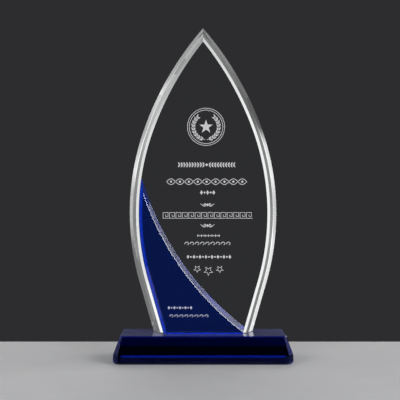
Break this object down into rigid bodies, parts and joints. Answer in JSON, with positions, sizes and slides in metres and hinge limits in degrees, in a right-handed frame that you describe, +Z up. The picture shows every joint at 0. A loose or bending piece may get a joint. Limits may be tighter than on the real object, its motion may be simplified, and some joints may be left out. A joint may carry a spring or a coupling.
{
  "type": "crystal award",
  "caption": "Free-standing crystal award: a bevelled pointed-oval clear blade with a cobalt accent plate, bonded upright on a cobalt base block.",
  "frame": {"origin": "middle of the base's underside", "axes": "+Z up to the blade's tip, -Y out of the bevelled front, +X to the right seen from the front"},
  "size_m": [0.1142, 0.0508, 0.2159],
  "materials": {
    "clear_crystal": "polished optical crystal",
    "cobalt_crystal": "polished, dyed through",
    "bond": "clear cured adhesive"
  },
  "bodies": {
    "root": {"base_block": "cobalt_crystal", "blade_bond": "bond", "clear_blade": "clear_crystal", "accent_bond": "bond", "blue_accent": "cobalt_crystal", "accent_foot_bond": "bond"}
  },
  "joints": []
}
